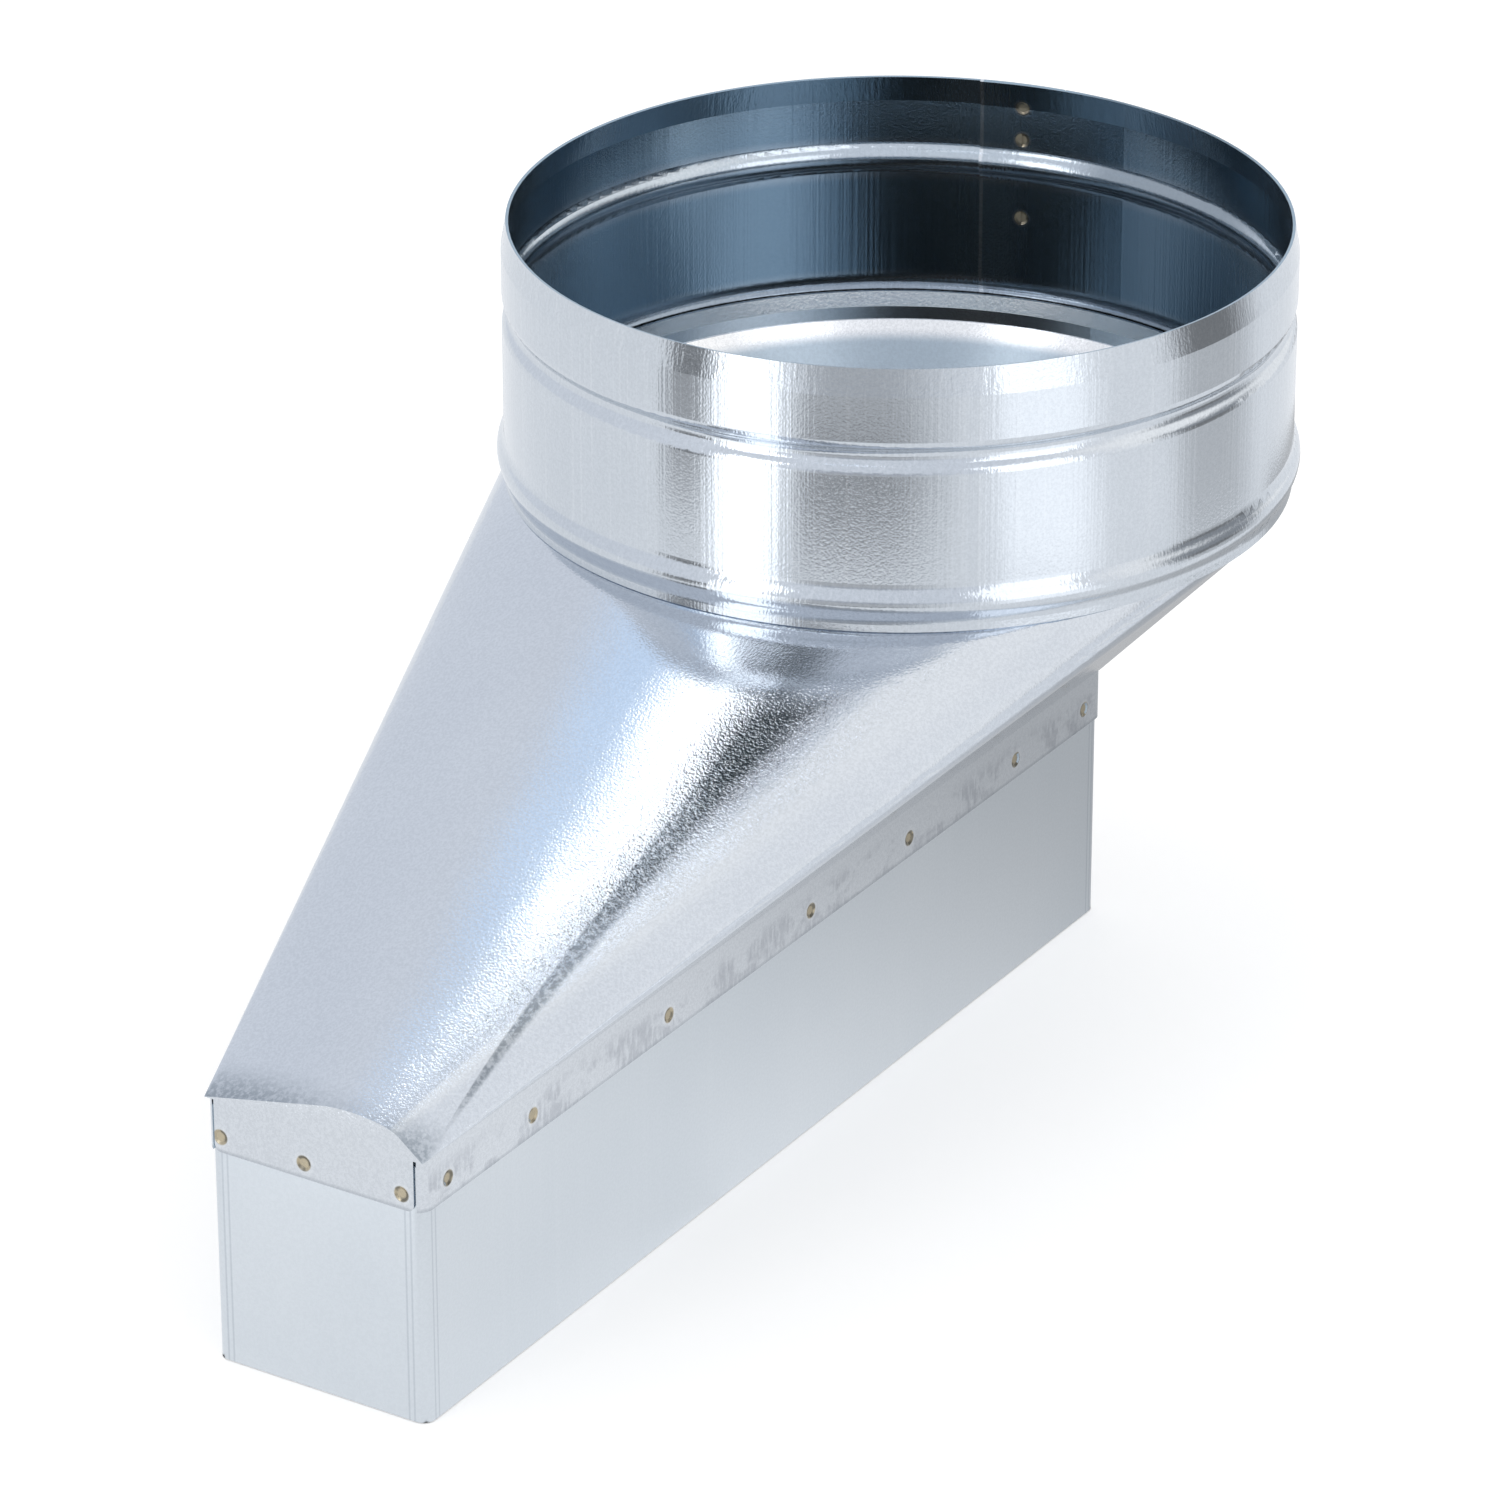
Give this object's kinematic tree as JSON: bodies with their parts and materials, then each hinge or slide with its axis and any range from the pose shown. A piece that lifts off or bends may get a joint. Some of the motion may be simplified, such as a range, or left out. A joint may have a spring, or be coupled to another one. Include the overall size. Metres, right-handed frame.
{
  "type": "flat-to-round duct adapter",
  "caption": "Sheet-steel duct adapter: a low rectangular sleeve leads through a sloping form to an offset round collar with a groove and a bead.",
  "frame": {"origin": "middle of the rectangular sleeve's open mouth, on the plane of its rim", "axes": "+Z along the round collar's axis, from the sleeve's mouth towards the collar; +X along the sleeve's long side, towards the side that the collar stands over; +Y across the sleeve, towards its seam"},
  "size_m": [0.289, 0.1618, 0.166],
  "materials": {
    "sleeve_sheet": "zinc-coated sheet, satin, flat faces",
    "form_sheet": "zinc-coated sheet, satin with a fine grain",
    "collar_sheet": "zinc-coated sheet with fine upright rolling marks"
  },
  "bodies": {
    "root": {"flat_stub": "sleeve_sheet", "transition_body": "form_sheet", "round_collar": "collar_sheet"}
  },
  "joints": []
}
